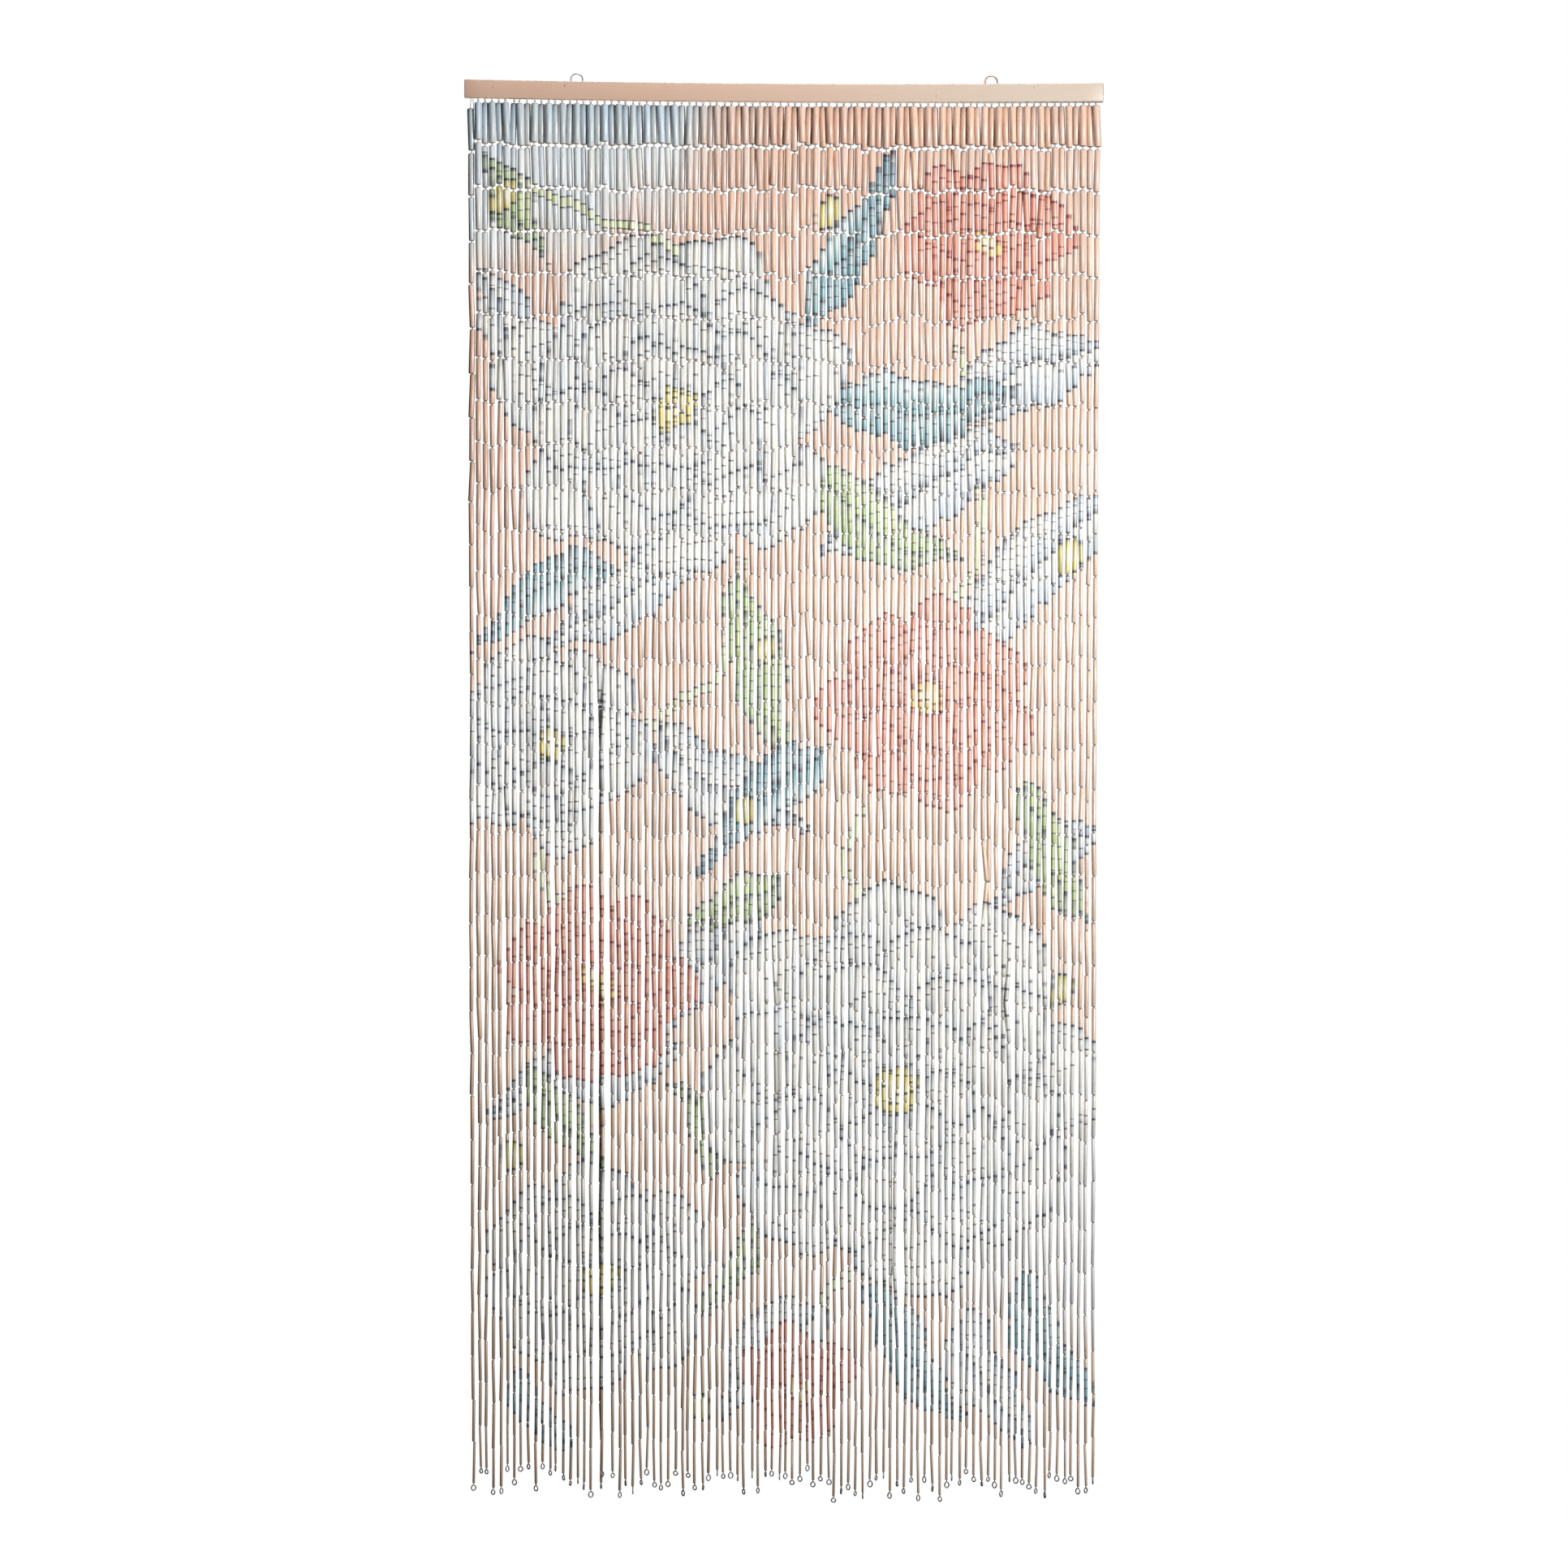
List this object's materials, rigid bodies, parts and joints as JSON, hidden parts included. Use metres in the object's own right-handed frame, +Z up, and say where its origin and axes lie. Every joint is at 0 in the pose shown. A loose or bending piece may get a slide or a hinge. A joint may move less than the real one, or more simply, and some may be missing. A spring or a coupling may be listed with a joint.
{
  "type": "bamboo bead door curtain with batten",
  "caption": "Door curtain of painted bamboo tube beads, strung on wire links in long strands that hang close together from a wooden batten with two wire hanging loops.",
  "frame": {"origin": "midway between the two hanging loops, at the height where wall hooks carry them", "axes": "+X along the batten to the right seen from the front, +Y from the front towards the wall or door frame, +Z up"},
  "size_m": [0.9, 0.0157, 2.0146],
  "materials": {
    "batten_paint": "blush pink matt paint on wood, worn at the edges",
    "steel_wire": "plain grey steel wire",
    "bead_paint": "bamboo tube beads with satin paint in blush, white, coral, green, teal and navy"
  },
  "bodies": {
    "root": {"batten": "batten_paint", "hanging_loop_left": "steel_wire", "hanging_loop_right": "steel_wire", "strands_1": "bead_paint", "strands_2": "bead_paint", "strands_3": "bead_paint", "strands_4": "bead_paint", "strands_5": "bead_paint", "strands_6": "bead_paint"}
  },
  "joints": []
}
